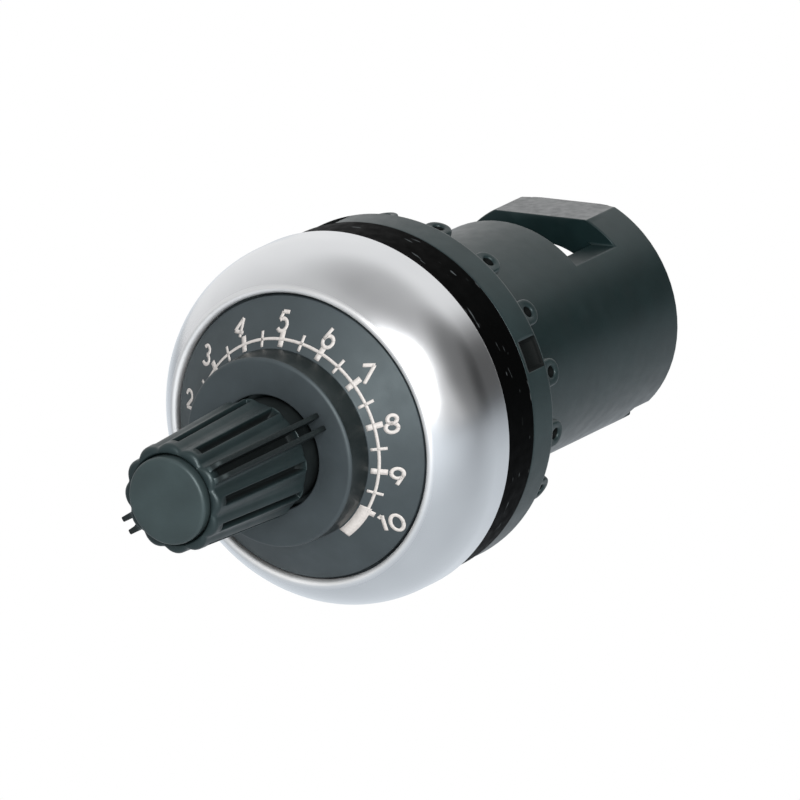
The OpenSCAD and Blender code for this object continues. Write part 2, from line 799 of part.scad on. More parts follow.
// Moulded rotor on the end of the shaft, with the lug that meets the stop in the case
module wiper_carrier() {
    color(mid_plastic) {
        tube(rotor_r, shaft_neck_r + fit_gap, rotor_y, rotor_y + rotor_t);
        sector(rotor_r - fit_gap, rotor_hub_r + fit_gap, pointer_clock, lug_half,
               rotor_y + rotor_t / 2, stop_y + stop_lug_len);
    }
}

// Wiper: a strip under the rotor with a contact on the track and one on the collector
module wiper_spring() {
    strip_half = 0.9;
    strip_gap = 0.2;
    contact_r = 0.4;
    top_y = rotor_y - spring_t;
    track_mid = (track_outer_r + track_inner_r) / 2;
    collector_mid = (collector_outer_r + collector_inner_r) / 2;
    color(brass)
    rotate([0, pointer_clock, 0]) {
        block(-strip_half, strip_half, top_y, rotor_y, shaft_r + strip_gap, track_outer_r);
        translate([0, 0, track_mid]) bar(contact_r, track_y + track_t + run_gap, rotor_y);
        translate([0, 0, collector_mid]) bar(contact_r, track_y + collector_t + run_gap, rotor_y);
    }
}

// Spanner lug drawn at the top of the ring nut: rounded behind, with a hole across it
module spanner_lug() {
    round_y = nut_t + lug_h - lug_w / 2;
    difference() {
        union() {
            block(-lug_w / 2, lug_w / 2, nut_t - lip_h, round_y, lug_outer_r - lug_t, lug_outer_r);
            translate([0, round_y, lug_outer_r - lug_t]) cylinder(d = lug_w, h = lug_t);
        }
        translate([0, round_y, lug_outer_r - lug_t - past])
            cylinder(d = lug_hole_d, h = lug_t + 2 * past);
    }
}

// Ring nut that clamps the panel against the seal, turned by its lugs or its hook notches
module ring_nut() {
    hook_depth = 0.5;
    hook_land = 0.4;
    color(mid_plastic)
    difference() {
        union() {
            revolved([
                [collar_r + run_gap, nut_front_y], [nut_r, nut_front_y],
                [nut_r, nut_t - nut_edge], [nut_r - nut_edge, nut_t], [lip_r, nut_t],
                [lip_r, nut_t + lip_h], [lip_r - lip_w, nut_t + lip_h], [lip_r - lip_w, nut_t],
                [collar_r + run_gap, nut_t]
            ]);
            for (i = [0 : lug_count - 1])
                rotate([0, nut_clock + i * 360 / lug_count, 0]) spanner_lug();
        }
        for (i = [0 : hook_count - 1])
            rotate([0, hook_clock + i * 360 / hook_count, 0])
                block(-hook_w / 2, hook_w / 2, nut_front_y + hook_land, nut_t - hook_land,
                      nut_r - hook_depth, nut_r + past);
    }
}

barrel_housing();
panel_seal();
front_carrier();
dial_plate();
bezel_ring();
stem_seal();
bush();
bush_washer();
bush_nut();
pot_plate();
pot_case();
track_wafer();
carbon_track();
collector_ring();
terminal_start();
terminal_wiper();
terminal_end();
terminal_rivets();
knob();
knob_cap();
collet_sleeve();
collet_screw();
shaft();
shaft_circlip();
wiper_carrier();
wiper_spring();
ring_nut();
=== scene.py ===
import bmesh
import bpy
import numpy as np
from mathutils import Matrix, Vector


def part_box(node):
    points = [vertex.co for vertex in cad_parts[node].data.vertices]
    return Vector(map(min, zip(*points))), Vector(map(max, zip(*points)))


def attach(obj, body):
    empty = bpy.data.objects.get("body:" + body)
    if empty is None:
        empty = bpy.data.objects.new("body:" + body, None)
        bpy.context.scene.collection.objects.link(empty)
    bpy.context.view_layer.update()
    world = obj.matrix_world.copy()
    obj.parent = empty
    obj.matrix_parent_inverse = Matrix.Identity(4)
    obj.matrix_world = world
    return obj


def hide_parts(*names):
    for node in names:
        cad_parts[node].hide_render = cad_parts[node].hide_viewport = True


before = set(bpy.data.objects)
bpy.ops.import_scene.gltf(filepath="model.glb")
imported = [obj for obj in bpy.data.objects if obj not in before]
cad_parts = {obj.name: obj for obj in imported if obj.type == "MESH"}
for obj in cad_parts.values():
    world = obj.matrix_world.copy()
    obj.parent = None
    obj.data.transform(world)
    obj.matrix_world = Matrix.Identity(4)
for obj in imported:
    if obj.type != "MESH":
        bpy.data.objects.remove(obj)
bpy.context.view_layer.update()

# Barrel housing: a moulded tube of dark glass-filled plastic. Its flange sits under the bezel, its
# threaded collar goes through the panel, and its barrel has a window before the thick rear wall. The
# wall has a round hole for the wires, a flat on top painted pale as painted light from above, and a
# notch in its rim.
MM = 0.001
flange_front, rear_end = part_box("barrel_housing")[0][1] / MM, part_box("barrel_housing")[1][1] / MM
flange_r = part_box("barrel_housing")[1][0] / MM
flange_rear, bead_len, bead_step = -4.1, 0.5, 0.3
collar_r, collar_bore, collar_end, collar_edge = 11.0, 9.5, 7.6, 0.3
barrel_r, bore_r, bore_start, rim_edge = 9.7, 8.2, 5.05, 0.4
wire_hole_r, end_wall = 6.4, 4.55
window_start, window_end = rear_end - end_wall - 5.75, rear_end - end_wall
window_floor, flat_height = barrel_r - 3.0, barrel_r - 1.05
notch_clock, notch_half, notch_start, notch_floor = 145.0, 6.5, rear_end - 2.5, barrel_r - 0.7
thread_pitch, thread_depth, thread_fade, thread_rows = 1.0, 0.3, 0.8, 92
edge_round, flat_margin, wall_margin = 0.12, 0.08, 0.01


def grid_faces(rows, columns, wrap_rows=False, wrap_columns=True):
    """Quads between neighbouring rows and columns of a grid of points that is counted row by row."""
    i = np.arange(rows if wrap_rows else rows - 1)[:, None]
    j = np.arange(columns if wrap_columns else columns - 1)[None, :]
    below, beside = (i + 1) % rows, (j + 1) % columns
    corners = [i * columns + j, i * columns + beside, below * columns + beside, below * columns + j]
    return np.stack(np.broadcast_arrays(*corners), -1).reshape(-1, 4)


def joined(*grids):
    """One list of points and faces out of several grids, each given as its points and its faces."""
    starts = np.cumsum([0] + [len(points) for points, _ in grids[:-1]])
    points = np.concatenate([points for points, _ in grids])
    return points, np.concatenate([faces + start for (_, faces), start in zip(grids, starts)])


def around(radius, clock, y):
    """Points at a radius from the axis, at a clock angle seen from the front and a place along it."""
    radius, clock, y = np.broadcast_arrays(radius, np.radians(clock), y)
    return np.stack([radius * np.sin(clock), y, radius * np.cos(clock)], -1)


def add_piece(name, points, faces, finish, body, slot, nodes=(), round_mm=0.0):
    """Puts a closed surface given in mm into the scene, merges its seams and poles, turns it outwards,
    rounds its sharp edges if asked, and lets it stand for its CAD nodes on their body."""
    mesh = bpy.data.meshes.new(name)
    mesh.from_pydata((points.reshape(-1, 3) * MM).tolist(), [], faces.tolist())
    work = bmesh.new()
    work.from_mesh(mesh)
    bmesh.ops.remove_doubles(work, verts=work.verts, dist=1e-7)
    bmesh.ops.dissolve_degenerate(work, edges=work.edges, dist=1e-8)
    bmesh.ops.recalc_face_normals(work, faces=work.faces)
    work.to_mesh(mesh)
    work.free()
    mesh.polygons.foreach_set("use_smooth", np.ones(len(mesh.polygons), bool))
    mesh.materials.append(finish)
    piece = bpy.data.objects.new(name, mesh)
    bpy.context.scene.collection.objects.link(piece)
    if round_mm:
        bevel = piece.modifiers.new("edges", "BEVEL")
        bevel.width, bevel.segments = round_mm * MM, 3
        bevel.limit_method, bevel.angle_limit = "ANGLE", np.radians(22)
        bevel.use_clamp_overlap = False
    piece.modifiers.new("flat faces", "WEIGHTED_NORMAL").weight = 80
    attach(piece, body)
    if nodes:
        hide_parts(*nodes)
    return piece


def surface(finish, name):
    """One of the inputs of a finish's shader."""
    return finish.node_tree.nodes["Principled BSDF"].inputs[name]


def new_finish(name, colour, roughness, metallic=0.0, specular=0.5):
    """A material with the plain values of a finish on its shader."""
    finish = bpy.data.materials.new(name)
    finish.use_nodes = True
    surface(finish, "Base Color").default_value = (*colour, 1)
    surface(finish, "Roughness").default_value = roughness
    surface(finish, "Metallic").default_value = metallic
    surface(finish, "Specular IOR Level").default_value = specular
    return finish


def mottle(finish, size, detail=2.0, stretch=(1, 1, 1)):
    """Soft random patches of a size in mm, from 0 to 1, shorter along the axes with a larger stretch."""
    nodes, links = finish.node_tree.nodes, finish.node_tree.links
    place, patches = nodes.new("ShaderNodeTexCoord"), nodes.new("ShaderNodeTexNoise")
    scaled = nodes.new("ShaderNodeMapping")
    scaled.inputs["Scale"].default_value = stretch
    patches.inputs["Scale"].default_value = 1 / (size * MM)
    patches.inputs["Detail"].default_value = detail
    links.new(place.outputs["Object"], scaled.inputs["Vector"])
    links.new(scaled.outputs["Vector"], patches.inputs["Vector"])
    return patches.outputs["Fac"]


def between(finish, factor, low, high, start=0.3, end=0.7):
    """Turns a factor that runs from start to end into a number between low and high."""
    spread = finish.node_tree.nodes.new("ShaderNodeMapRange")
    for socket, value in (("From Min", start), ("From Max", end), ("To Min", low), ("To Max", high)):
        spread.inputs[socket].default_value = value
    finish.node_tree.links.new(factor, spread.inputs["Value"])
    return spread.outputs["Result"]


def tint(finish, factor, first, second):
    """Mixes two colours by a factor; a colour is three numbers or another node's output."""
    nodes, links = finish.node_tree.nodes, finish.node_tree.links
    mix = nodes.new("ShaderNodeMix")
    mix.data_type = "RGBA"
    links.new(factor, mix.inputs["Factor"])
    for socket, colour in (("A", first), ("B", second)):
        target = [s for s in mix.inputs if s.name == socket and s.type == "RGBA"][0]
        if isinstance(colour, bpy.types.NodeSocket):
            links.new(colour, target)
        else:
            target.default_value = (*colour, 1)
    return [s for s in mix.outputs if s.type == "RGBA"][0]


def vary_colour(finish, factor, first, second):
    """Lets the colour of a finish run from the first to the second with a factor from 0 to 1."""
    finish.node_tree.links.new(tint(finish, factor, first, second), surface(finish, "Base Color"))


def vary_roughness(finish, factor, low, high):
    """Lets the roughness of a finish run from low to high with soft patches."""
    finish.node_tree.links.new(between(finish, factor, low, high), surface(finish, "Roughness"))


def relief(finish, *layers):
    """Bumps from layers of (height from 0 to 1, depth in mm), one on top of the other."""
    nodes, links = finish.node_tree.nodes, finish.node_tree.links
    below = None
    for height, depth in layers:
        bump = nodes.new("ShaderNodeBump")
        bump.inputs["Distance"].default_value = depth * MM
        links.new(height, bump.inputs["Height"])
        if below:
            links.new(below, bump.inputs["Normal"])
        below = bump.outputs["Normal"]
    links.new(below, surface(finish, "Normal"))


def moulded_plastic(name, colour, roughness, grain, depth, specular=0.5):
    """Moulded plastic: an eroded grain of a size and depth in mm, faint flow marks in its shade and
    rubbed and dull patches in its gloss."""
    cool_gloss, dark_share, light_share, glossier, duller = (0.86, 1.0, 1.02, 1), 0.86, 1.16, 0.03, 0.04
    finish = new_finish(name, colour, roughness, specular=specular)
    surface(finish, "Specular Tint").default_value = cool_gloss
    dark, light = [tuple(np.array(colour) * share) for share in (dark_share, light_share)]
    flow, uneven_patches, eroded, swell = [mottle(finish, size, detail) for size, detail in (
        (2.6, 4.0), (1.1, 3.0), (grain, 2.0), (1.8, 1.0))]
    vary_colour(finish, between(finish, flow, 0, 1), dark, light)
    vary_roughness(finish, uneven_patches, roughness - glossier, roughness + duller)
    relief(finish, (eroded, depth), (swell, depth / 2))
    return finish


def combine(tree, operation, first, second):
    """A sum, product, power or maximum of two values, each a number or another node's output."""
    node = tree.nodes.new("ShaderNodeMath")
    node.operation = operation
    for socket, value in zip(node.inputs, (first, second)):
        if isinstance(value, bpy.types.NodeSocket):
            tree.links.new(value, socket)
        else:
            socket.default_value = value
    return node.outputs[0]


def other_area(finish, mask, colour, dulling):
    """Gives the area where a mask is 1 another colour and its roughness times a number."""
    tree = finish.node_tree
    roughness = surface(finish, "Roughness")
    vary_colour(finish, mask, surface(finish, "Base Color").links[0].from_socket, colour)
    times = between(finish, mask, 1, dulling, 0, 1)
    tree.links.new(combine(tree, "MULTIPLY", roughness.links[0].from_socket, times), roughness)


housing_plastic = moulded_plastic(
    "housing plastic", (0.004, 0.011, 0.0115), roughness=0.36, grain=0.14, depth=0.003, specular=0.42)
# Painted light: the flat on top of the rear wall gets a pale, matt colour with paler random patches,
# standing for the light that falls on it from above.
flat_painted_light = moulded_plastic(
    "flat plastic painted pale", (0.17, 0.175, 0.177), roughness=0.62, grain=0.14, depth=0.003, specular=0.06)
uneven_patches, paler_patch_colour = mottle(flat_painted_light, 0.55, 3.0), (0.24, 0.244, 0.246)
other_area(flat_painted_light, between(flat_painted_light, uneven_patches, 0, 1, 0.35, 0.7), paler_patch_colour, 1)

window_edge = np.degrees(np.arccos(window_floor / np.array([barrel_r, bore_r])))
flat_edge = np.degrees(np.arccos(flat_height / barrel_r))
steps = (np.linspace(-1, 0, 7)[:-1], np.linspace(0, 1, 13)[:-1], np.linspace(0, 1, 7))
top_outer = np.concatenate([
    -flat_edge + (window_edge[0] - flat_edge) * steps[0], flat_edge * (2 * steps[1] - 1),
    flat_edge + (window_edge[0] - flat_edge) * steps[2],
])
top_inner = top_outer * window_edge[1] / window_edge[0]
side_columns = (18, 4, 36)
side_turns = (window_edge[0], notch_clock - notch_half, notch_clock + notch_half, 360 - window_edge[0])
side_outer = np.concatenate([
    np.linspace(*stretch) for stretch in zip(side_turns, side_turns[1:], side_columns)
])
in_notch = np.repeat([False, True, False], side_columns)
side_inner = 180 + (side_outer - 180) * (180 - window_edge[1]) / (180 - window_edge[0])

thread_y = np.linspace(flange_rear, collar_end - collar_edge, thread_rows)
front_rows = np.array([
    [flange_r, flange_front], [flange_r, flange_rear - bead_len],
    [flange_r - bead_step, flange_rear - bead_len], [flange_r - bead_step, flange_rear],
])
barrel_y = np.concatenate([[collar_end], np.linspace(collar_end + 1, window_start, 10)])
window_y = np.linspace(window_start, window_end, 5)
rear_y = np.array([window_end, notch_start, notch_start, rear_end - rim_edge, rear_end])
rear_r = np.array([barrel_r] * 4 + [barrel_r - rim_edge])


def outer_rows(clock):
    """The outside from the flange to the front of the window: flange, screw thread whose radius
    follows a sine of the place minus the turn, and plain barrel."""
    turn = np.cos(2 * np.pi * (thread_y[:, None] / thread_pitch - clock[None, :] / 360))
    to_end = np.minimum(thread_y, collar_end - collar_edge - thread_y)
    fade = np.clip(to_end / thread_fade, 0, 1)[:, None]
    thread = around(collar_r - thread_depth / 2 * fade * (1 - turn), clock, thread_y[:, None])
    flange = around(front_rows[:, :1], clock, front_rows[:, 1:])
    edge = around(collar_r - collar_edge, clock, np.array([[collar_end]]))
    return np.concatenate([flange, thread, edge, around(barrel_r, clock, barrel_y[:, None])])


def rear_rows(clock, notched):
    """The outside of the rear wall: the barrel cut by the flat, and by the rim notch where it is."""
    radius = np.minimum(rear_r[:, None], flat_height / np.maximum(np.cos(np.radians(clock)), 0.1))
    cut = notched[None, :] & (np.arange(len(rear_y)) >= 2)[:, None]
    return around(np.where(cut, notch_floor, radius), clock, rear_y[:, None])


def bore_rows(clock):
    """The inside from the front of the window back to the front face of the flange."""
    y = np.concatenate([np.linspace(window_start, bore_start, 6), [bore_start, flange_front]])
    radius = np.array([bore_r] * 6 + [collar_bore] * 2)
    return around(radius[:, None], clock, y[:, None])


def hole_rows(clock):
    """The wire hole through the rear wall, and the front face of that wall out to the bore."""
    y, radius = np.array([rear_end, window_end, window_end]), np.array([wire_hole_r, wire_hole_r, bore_r])
    return around(radius[:, None], clock, y[:, None])


no_notch = np.zeros(len(top_outer), bool)
side = np.concatenate([
    outer_rows(side_outer), around(barrel_r, side_outer, window_y[1:-1, None]),
    rear_rows(side_outer, in_notch), hole_rows(side_inner),
    around(bore_r, side_inner, window_y[-2:0:-1, None]), bore_rows(side_inner),
])
top_front = np.concatenate([outer_rows(top_outer), bore_rows(top_inner)])
top_rear = np.concatenate([rear_rows(top_outer, no_notch), hole_rows(top_inner)])
sill_edges = ((barrel_r, window_edge[0]), (bore_r, window_edge[1]))
sills = [
    np.stack([around(radius, sign * edge, window_y) for radius, edge in sill_edges])
    for sign in (-1, 1)
]
housing_grids = [
    (grid.reshape(-1, 3), grid_faces(*grid.shape[:2], wrap_rows=wrap, wrap_columns=False))
    for grid, wrap in (
        (side, True), (top_front, True), (top_rear, True), (sills[0], False), (sills[1], False))
]
housing = add_piece("barrel_housing_shell", *joined(*housing_grids), housing_plastic, "housing",
                    "housing_plastic", ["barrel_housing"], edge_round)


def second_finish(piece, finish, chosen):
    """Gives another finish to the faces of a piece whose middles, in mm, a rule chooses."""
    middle = np.empty(len(piece.data.polygons) * 3)
    piece.data.polygons.foreach_get("center", middle)
    piece.data.materials.append(finish)
    index = chosen(middle.reshape(-1, 3) / MM).astype(np.int32)
    piece.data.polygons.foreach_set("material_index", index)


def on_flat(middle):
    """True for a place on the flat of the rear wall or hardly below it."""
    return (middle[:, 2] > flat_height - flat_margin) & (middle[:, 1] > window_end + wall_margin)


# The flat gets the pale finish of painted light from above.
second_finish(housing, flat_painted_light, on_flat)


# Panel seal: a ring of black rubber between the flange and the panel, with two lips towards the
# panel. It is moulded, matt and very dark, with short pale dashes along its rim that are painted
# glints.
seal_front, seal_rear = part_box("panel_seal")[0][1] / MM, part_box("panel_seal")[1][1] / MM
seal_r, seal_bore, seal_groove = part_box("panel_seal")[1][0] / MM, 11.05, 0.6
seal_round, seal_bore_round = 0.15, 0.1
seal_black, glint_grey = (0.0006, 0.0007, 0.0007), (0.06, 0.068, 0.07)


def rounded_profile(corners, steps=6):
    """A closed profile of (radius, place, round) whose corners become tangent arcs of these rounds:
    each arc turns from one side to the next about a centre on the corner's bisector."""
    corners = np.asarray(corners, float)
    spot, size = corners[:, :2], corners[:, 2:]
    back, ahead = np.roll(spot, 1, 0) - spot, np.roll(spot, -1, 0) - spot
    back /= np.linalg.norm(back, axis=1, keepdims=True)
    ahead /= np.linalg.norm(ahead, axis=1, keepdims=True)
    half = np.arccos(np.clip((back * ahead).sum(1, keepdims=True), -1, 1)) / 2
    half = np.minimum(half, np.pi / 2 - 1e-3)
    reach = size / np.tan(half)
    bisector = back + ahead
    bisector /= np.maximum(np.linalg.norm(bisector, axis=1, keepdims=True), 1e-9)
    centre = spot + bisector * size / np.sin(half)
    from_arm, to_arm = spot + back * reach - centre, spot + ahead * reach - centre
    swing = np.pi - 2 * half
    t = np.linspace(0, 1, steps + 1)
    arms = (np.sin((1 - t) * swing)[..., None] * from_arm[:, None]
            + np.sin(t * swing)[..., None] * to_arm[:, None]) / np.sin(swing)[..., None]
    return (centre[:, None] + arms).reshape(-1, 2)


def revolved(profile, columns=240):
    """Surface of revolution: every point of a closed profile of (radius, place) at every clock angle."""
    clock = np.linspace(0, 360, columns, endpoint=False)
    points = around(profile[:, :1], clock, profile[:, 1:])
    return points.reshape(-1, 3), grid_faces(len(profile), columns, wrap_rows=True)


lip = (seal_r - seal_bore) / 3
seal_profile = rounded_profile([
    (seal_bore, seal_front, seal_bore_round), (seal_r, seal_front, seal_round),
    (seal_r, seal_rear, seal_round), (seal_r - lip, seal_rear, seal_round),
    (seal_r - lip, seal_rear - seal_groove, seal_round),
    (seal_bore + lip, seal_rear - seal_groove, seal_round), (seal_bore + lip, seal_rear, seal_round),
    (seal_bore, seal_rear, seal_bore_round),
])
seal_rubber = new_finish("seal rubber", seal_black, 0.5, specular=0.015)
# Painted highlights: short pale dashes along the rim that stand for glints.
painted_glints = mottle(seal_rubber, 1.4, 1.5, (0.8, 3.2, 0.8))
vary_colour(seal_rubber, between(seal_rubber, painted_glints, 0, 1, 0.69, 0.75), seal_black, glint_grey)
vary_roughness(seal_rubber, mottle(seal_rubber, 0.9, 2.0), 0.44, 0.6)
relief(seal_rubber, (mottle(seal_rubber, 0.5, 1.0), 0.01))
add_piece("panel_seal_ring", *revolved(seal_profile), seal_rubber, "housing", "seal_rubber",
          ["panel_seal"])


# Ring nut: a lighter grey moulded nut on the collar, clamped against the rear of the panel. Its rear
# edge is rounded, a low lip joins its spanner lugs, each with a hole across it, and hook notches are
# cut into its rim. The insides of the lug holes and hook notches are painted near black as shade.
nut_front, lug_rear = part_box("ring_nut")[0][1] / MM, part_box("ring_nut")[1][1] / MM
nut_r = seal_r - 0.1
nut_bore, nut_rear, nut_round, nut_front_round, nut_bore_round = 11.05, 3.1, 0.4, 0.15, 0.3
lip_outer, lip_inner, lip_rear = nut_r - 0.7, nut_r - 1.5, nut_rear + 0.3
lip_round, lip_foot = 0.14, 0.1
lug_count, lug_clock, lug_w, lug_t, lug_sunk, lug_columns = 17, 16.0, 2.2, 1.0, 0.3, 48
lug_face_r, lug_round = lip_outer + 0.2, 0.22
lug_hole_r, lug_web, hole_flare, hole_fillet, hole_margin = 0.45, 0.06, 0.16, 0.05, 0.01
hook_clocks, hook_half, hook_depth, hook_wall = 71.0 + 90.0 * np.arange(4), 4.6, 0.5, 0.5
hook_from, hook_to, hook_slope, hook_margin = nut_front + 0.4, nut_rear - 0.4, 0.12, 0.05

hook_places = (
    hook_from, hook_from + hook_slope / 2, hook_from + hook_slope, (hook_from + hook_to) / 2,
    hook_to - hook_slope, hook_to - hook_slope / 2, hook_to,
)
nut_profile = rounded_profile([
    (nut_bore, nut_front, nut_front_round), (nut_r, nut_front, nut_front_round),
    *[(nut_r, y, 0) for y in hook_places], (nut_r, nut_rear, nut_round),
    (lip_outer, nut_rear, lip_foot), (lip_outer, lip_rear, lip_round),
    (lip_inner, lip_rear, lip_round), (lip_inner, nut_rear, lip_foot),
    (nut_bore, nut_rear, nut_bore_round),
])
hook_sides = (hook_clocks[:, None] + np.linspace(-1, 1, 9) * (hook_half + hook_wall)).ravel()
even_clock = np.linspace(0, 360, 240, endpoint=False)
nut_clock = np.unique(np.concatenate([even_clock, hook_sides % 360]).round(3))
off_hook = np.abs((nut_clock[:, None] - hook_clocks + 180) % 360 - 180).min(1)
hook_across = np.clip((hook_half + hook_wall - off_hook) / hook_wall, 0, 1)
nut_radius, nut_y = nut_profile[:, 0], nut_profile[:, 1]
into_hook = np.minimum(nut_y - hook_from, hook_to - nut_y)
hook_along = np.clip(into_hook / hook_slope, 0, 1) * (nut_radius > lip_outer)
nut_points = around(
    nut_radius[:, None] - hook_depth * hook_along[:, None] * hook_across, nut_clock, nut_y[:, None])
nut_ring = nut_points.reshape(-1, 3), grid_faces(*nut_points.shape[:2], wrap_rows=True)


def spanner_lugs():
    """All lugs at once: for each lug a closed skin whose rings run from the floor of its hole up to
    the face, out to a tab outline with a half-round end, over a rounded edge, and over the back."""
    turn = np.linspace(0, 2 * np.pi, lug_columns, endpoint=False)
    across, rearward = np.sin(turn), np.cos(turn)
    hole_y = lug_rear - lug_w / 2
    foot = hole_y - nut_rear + lug_sunk
    sides = lug_w / 2 / np.maximum(np.abs(across), 1e-6)
    square_foot = np.minimum(sides, foot / np.maximum(-rearward, 1e-6))
    outline = np.where(rearward > 0, lug_w / 2, square_foot)
    bend = np.linspace(0, np.pi / 2, 5)
    inward, downward = lug_round * (1 - np.sin(bend)), lug_round * (1 - np.cos(bend))
    inset = np.concatenate([inward, inward[::-1]])
    depth = np.concatenate([-downward, downward[::-1] - lug_t])
    face = lug_hole_r + np.array([-lug_hole_r, -hole_fillet, 0, 0, hole_fillet, hole_flare])
    reach = np.concatenate([
        face[:, None] + np.zeros(lug_columns), outline - inset[:, None], np.zeros((1, lug_columns)),
    ])
    floor = lug_web - lug_t
    hole = [floor, floor, floor + hole_fillet, -hole_flare, -hole_fillet, 0]
    level = np.concatenate([hole, depth, [-lug_t]])[:, None]
    x, y, height = reach * across, hole_y + reach * rearward, lug_face_r + level + 0 * reach
    clock = np.radians(lug_clock + np.arange(lug_count) * 360 / lug_count)[:, None, None]
    points = np.stack([
        x * np.cos(clock) + height * np.sin(clock), y + 0 * clock,
        height * np.cos(clock) - x * np.sin(clock),
    ], -1)
    one = grid_faces(*reach.shape)
    return points.reshape(-1, 3), (one + np.arange(lug_count)[:, None, None] * reach.size).reshape(-1, 4)


nut_plastic = moulded_plastic(
    "nut plastic", (0.012, 0.021, 0.022), roughness=0.38, grain=0.12, depth=0.004, specular=0.3)
ring_nut = add_piece("ring_nut_moulding", *joined(nut_ring, spanner_lugs()), nut_plastic, "mounting_nut",
                     "nut_plastic", ["ring_nut"])
# Painted shade: a near black, matt finish for the insides of the lug holes and hook notches, where shade
# falls.
painted_hole_shade = new_finish("painted hole shade", (0.003, 0.004, 0.004), 0.7, specular=0.1)


def inside_holes(middle):
    """True for a place within a lug's hole, counted across the nearest lug, or within a hook notch."""
    radius, y = np.hypot(middle[:, 0], middle[:, 2]), middle[:, 1]
    lug_turn = (np.degrees(np.arctan2(middle[:, 0], middle[:, 2])) - lug_clock) * lug_count / 360
    across = np.sin(np.radians((lug_turn - np.round(lug_turn)) * 360 / lug_count)) * radius
    in_lug = np.hypot(across, y - lug_rear + lug_w / 2) < lug_hole_r + hole_margin
    below_rim = np.abs(radius - nut_r + hook_depth) < hook_depth - hook_margin
    in_hook = (y > hook_from) & (y < hook_to) & below_rim
    return in_lug & (radius > lug_face_r - lug_t + lug_web / 2) | in_hook


# The insides of the lug holes and hook notches get the painted shade.
second_finish(ring_nut, painted_hole_shade, inside_holes)


# Front carrier and potentiometer: the cup in the collar, the standard unit that hangs in its floor by
# a threaded bush, and the collet that holds the knob on its shaft. They keep their solids, each with
# the finish of its material: plastic, rubber, brass, steel, laminate, carbon film, tin or plating.
def turned_metal(name, colour, roughness, lathe=0.05):
    """Turned metal: fine rings from a noise that hardly changes across the axis, and dull spots."""
    dull_share, glossier, duller, ring_depth = 0.86, 0.04, 0.08, 0.004
    finish = new_finish(name, colour, roughness, metallic=1.0)
    rings = mottle(finish, lathe, 1.0, (0.02, 1.0, 0.02))
    spots = mottle(finish, 0.8, 3.0)
    dull = tuple(np.array(colour) * dull_share)
    vary_colour(finish, between(finish, spots, 0, 1, 0.4, 0.75), colour, dull)
    vary_roughness(finish, spots, roughness - glossier, roughness + duller)
    relief(finish, (rings, ring_depth))
    return finish


def layered_board(name, colour, roughness, size):
    """Pressed laminate or printed film: a fine fibre or grain in its shade and a slight relief."""
    dark_share, light_share, fibre_depth = 0.65, 1.3, 0.01
    finish = new_finish(name, colour, roughness, specular=0.35)
    dark, light = [tuple(np.array(colour) * share) for share in (dark_share, light_share)]
    fibre = mottle(finish, size, 4.0, (1.0, 3.0, 1.0))
    vary_colour(finish, between(finish, fibre, 0, 1), dark, light)
    relief(finish, (fibre, fibre_depth))
    return finish


inner_finishes = (
    (moulded_plastic("carrier plastic", (0.045, 0.046, 0.047), roughness=0.55, grain=0.15, depth=0.008),
     ("front_carrier", "wiper_carrier")),
    (seal_rubber, ("stem_seal",)),
    (turned_metal("turned brass", (0.68, 0.47, 0.17), 0.28),
     ("bush", "bush_nut", "terminal_rivets", "collet_sleeve", "wiper_spring")),
    (turned_metal("plain steel", (0.50, 0.51, 0.53), 0.34),
     ("bush_washer", "pot_plate", "pot_case", "collet_screw", "shaft", "shaft_circlip")),
    (layered_board("phenolic board", (0.20, 0.095, 0.035), 0.5, 0.25), ("track_wafer",)),
    (layered_board("carbon film", (0.016, 0.016, 0.018), 0.62, 0.06), ("carbon_track",)),
    (turned_metal("plated contact", (0.70, 0.69, 0.66), 0.22), ("collector_ring",)),
    (turned_metal("tinned brass", (0.62, 0.61, 0.58), 0.36),
     ("terminal_start", "terminal_wiper", "terminal_end")),
)
for finish, names in inner_finishes:
    for name in names:
        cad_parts[name].data.materials.clear()
        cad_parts[name].data.materials.append(finish)


# Dial plate: a dark moulded cone with a raised boss, through which the foot of the knob goes. Its
# shoulder is held under the edge of the bezel, and a dark line shows between the two. The side wall
# of the boss is painted near black as shade.
dial_front, dial_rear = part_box("dial_plate")[0][1] / MM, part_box("dial_plate")[1][1] / MM
bezel_front, bezel_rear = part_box("bezel_ring")[0][1] / MM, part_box("bezel_ring")[1][1] / MM
bezel_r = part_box("bezel_ring")[1][0] / MM
opening_r = bezel_r - 3.15
dial_edge_r, dial_rim_r, dial_edge_y = opening_r - 0.22, 11.95, bezel_front + 0.42
lip_y = bezel_front + 1.1
dial_slope = np.tan(np.radians(32))
boss_root_r, boss_r, boss_round, knob_hole_r = 7.8, 7.7, 0.3, 4.7
boss_floor, dial_wall = dial_front + 1.5, 1.3
groove_start, groove_r, groove_len, hub_r, shaft_hole_r = boss_floor + dial_wall, 3.5, 1.6, 4.6, 2.6
groove_end, dial_inner_r, shoulder_y = groove_start + groove_len, dial_rim_r - dial_wall, lip_y + 0.05


def cone_y(radius):
    """Place of the dial's face along the axis: it rises in a straight line from its edge inwards."""
    return dial_edge_y - (opening_r - radius) * dial_slope


def along(tree, output, axis):
    """How far a place or a direction reaches along an axis: their dot product."""
    place, product = tree.nodes.new("ShaderNodeTexCoord"), tree.nodes.new("ShaderNodeVectorMath")
    product.operation = "DOT_PRODUCT"
    product.inputs[1].default_value = Vector(axis).normalized()
    tree.links.new(place.outputs[output], product.inputs[0])
    return product.outputs["Value"]


def past(finish, axis, place, soft=0.03):
    """1 where the part lies past a place in mm along an axis, else 0, with a soft step between."""
    reach = along(finish.node_tree, "Object", axis)
    return between(finish, reach, 0, 1, (place - soft) * MM, (place + soft) * MM)


